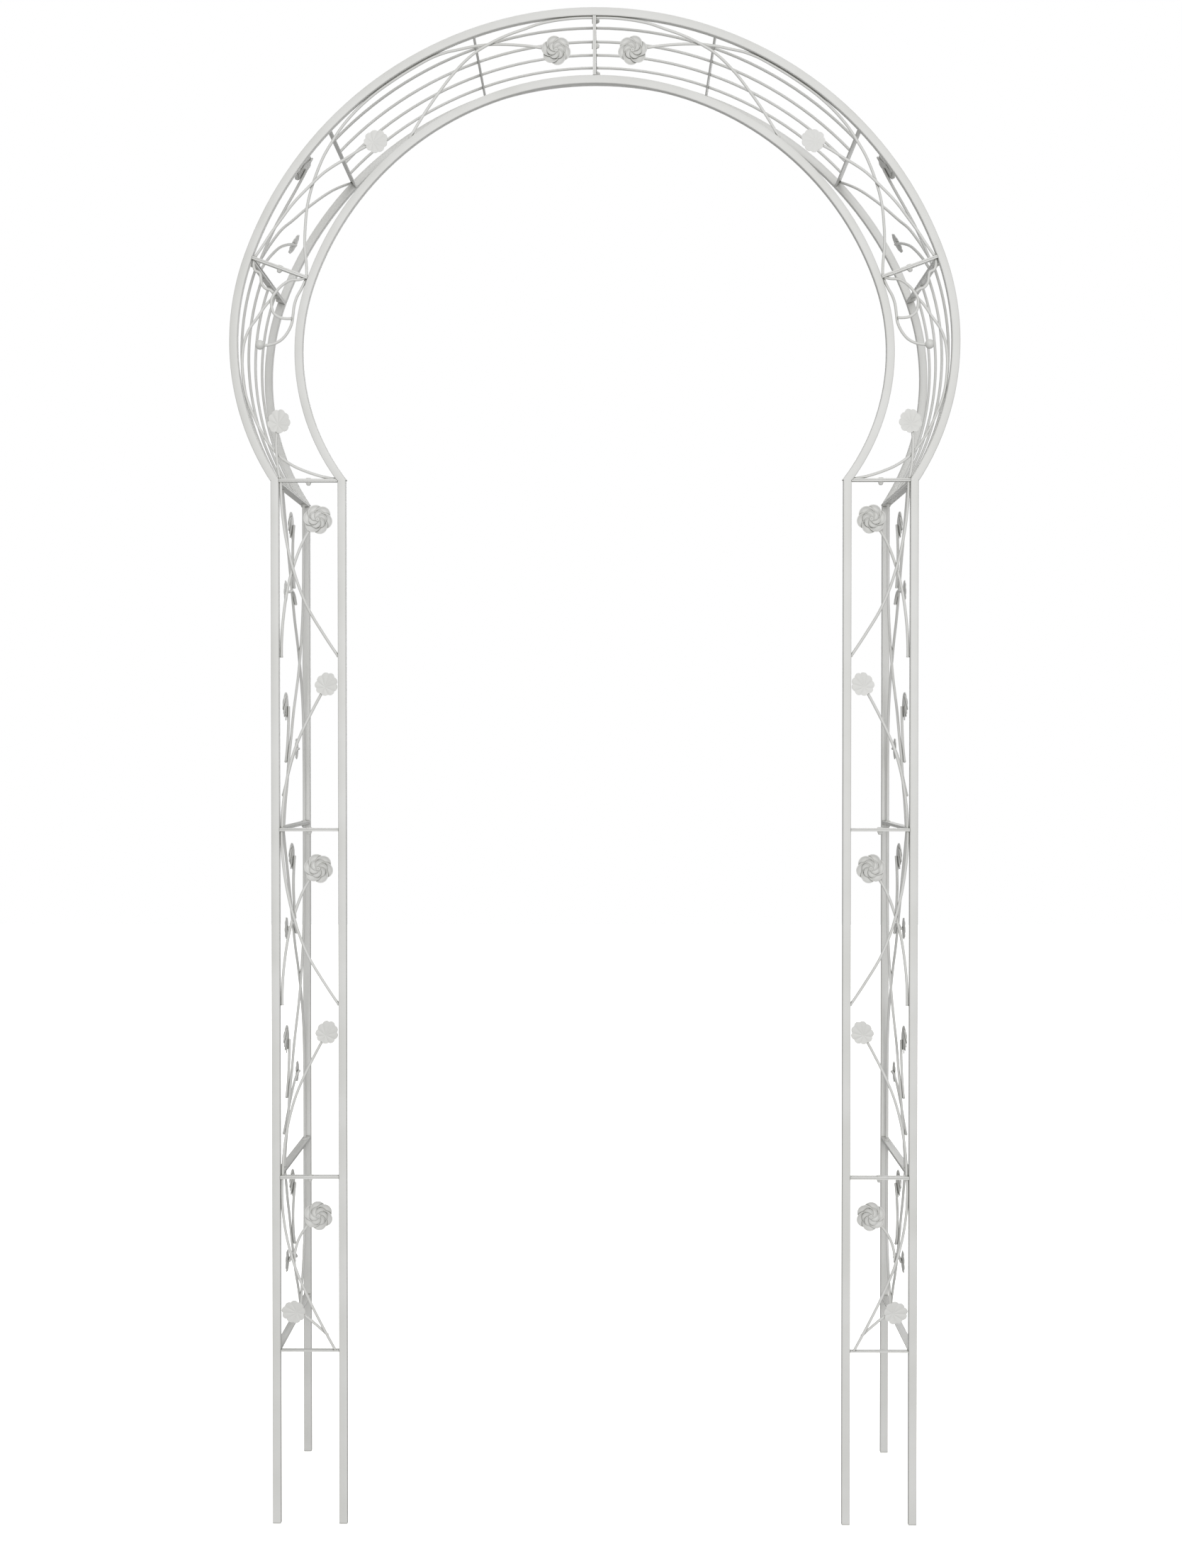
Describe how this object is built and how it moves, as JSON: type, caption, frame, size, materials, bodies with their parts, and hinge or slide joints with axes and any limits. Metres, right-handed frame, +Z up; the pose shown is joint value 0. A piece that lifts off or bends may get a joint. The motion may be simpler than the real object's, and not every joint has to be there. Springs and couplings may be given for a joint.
{
  "type": "garden arch",
  "caption": "White steel garden arch with a horseshoe top, ladder sides of square tube, wires over the top and a rose vine of bent rod.",
  "frame": {"origin": "on the ground, midway between the legs and between the front and back faces", "axes": "+X to the right, +Y from the front ladder to the back rails, +Z up"},
  "size_m": [1.1538, 0.383, 2.4],
  "materials": {
    "powder_coat": "satin powder coat",
    "fastener_paint": "satin paint"
  },
  "bodies": {
    "root": {"left_lower_leg_outer_rail": "powder_coat", "left_lower_leg_inner_rail": "powder_coat", "left_lower_leg_back_rail": "powder_coat", "left_middle_leg_outer_rail": "powder_coat", "left_middle_leg_inner_rail": "powder_coat", "left_middle_leg_back_rail": "powder_coat", "left_upper_leg_outer_rail": "powder_coat", "left_upper_leg_inner_rail": "powder_coat", "left_upper_leg_back_rail": "powder_coat", "left_shoulder_outer_rail": "powder_coat", "left_shoulder_inner_rail": "powder_coat", "left_shoulder_back_rail": "powder_coat", "left_crown_outer_rail": "powder_coat", "left_crown_inner_rail": "powder_coat", "left_crown_back_rail": "powder_coat", "right_lower_leg_outer_rail": "powder_coat", "right_lower_leg_inner_rail": "powder_coat", "right_lower_leg_back_rail": "powder_coat", "right_middle_leg_outer_rail": "powder_coat", "right_middle_leg_inner_rail": "powder_coat", "right_middle_leg_back_rail": "powder_coat", "right_upper_leg_outer_rail": "powder_coat", "right_upper_leg_inner_rail": "powder_coat", "right_upper_leg_back_rail": "powder_coat", "right_shoulder_outer_rail": "powder_coat", "right_shoulder_inner_rail": "powder_coat", "right_shoulder_back_rail": "powder_coat", "right_crown_outer_rail": "powder_coat", "right_crown_inner_rail": "powder_coat", "right_crown_back_rail": "powder_coat", "left_lower_leg_vine": "powder_coat", "left_middle_leg_vine": "powder_coat", "left_upper_leg_vine": "powder_coat", "left_shoulder_vine": "powder_coat", "left_crown_vine": "powder_coat", "right_lower_leg_vine": "powder_coat", "right_middle_leg_vine": "powder_coat", "right_upper_leg_vine": "powder_coat", "right_shoulder_vine": "powder_coat", "right_crown_vine": "powder_coat", "crown_joint_bars": "powder_coat", "shoulder_joint_bars": "powder_coat", "elbow_joint_bars": "powder_coat", "upper_leg_joint_bars": "powder_coat", "lower_leg_joint_bars": "powder_coat", "crown_cross_bars": "powder_coat", "foot_cross_bars": "powder_coat", "crown_wires": "powder_coat", "shoulder_wires": "powder_coat", "front_roses": "powder_coat", "side_roses": "powder_coat", "front_leaves": "powder_coat", "side_leaves": "powder_coat", "scroll_balls": "powder_coat", "joint_bolts": "fastener_paint", "cap_nuts": "fastener_paint"}
  },
  "joints": []
}
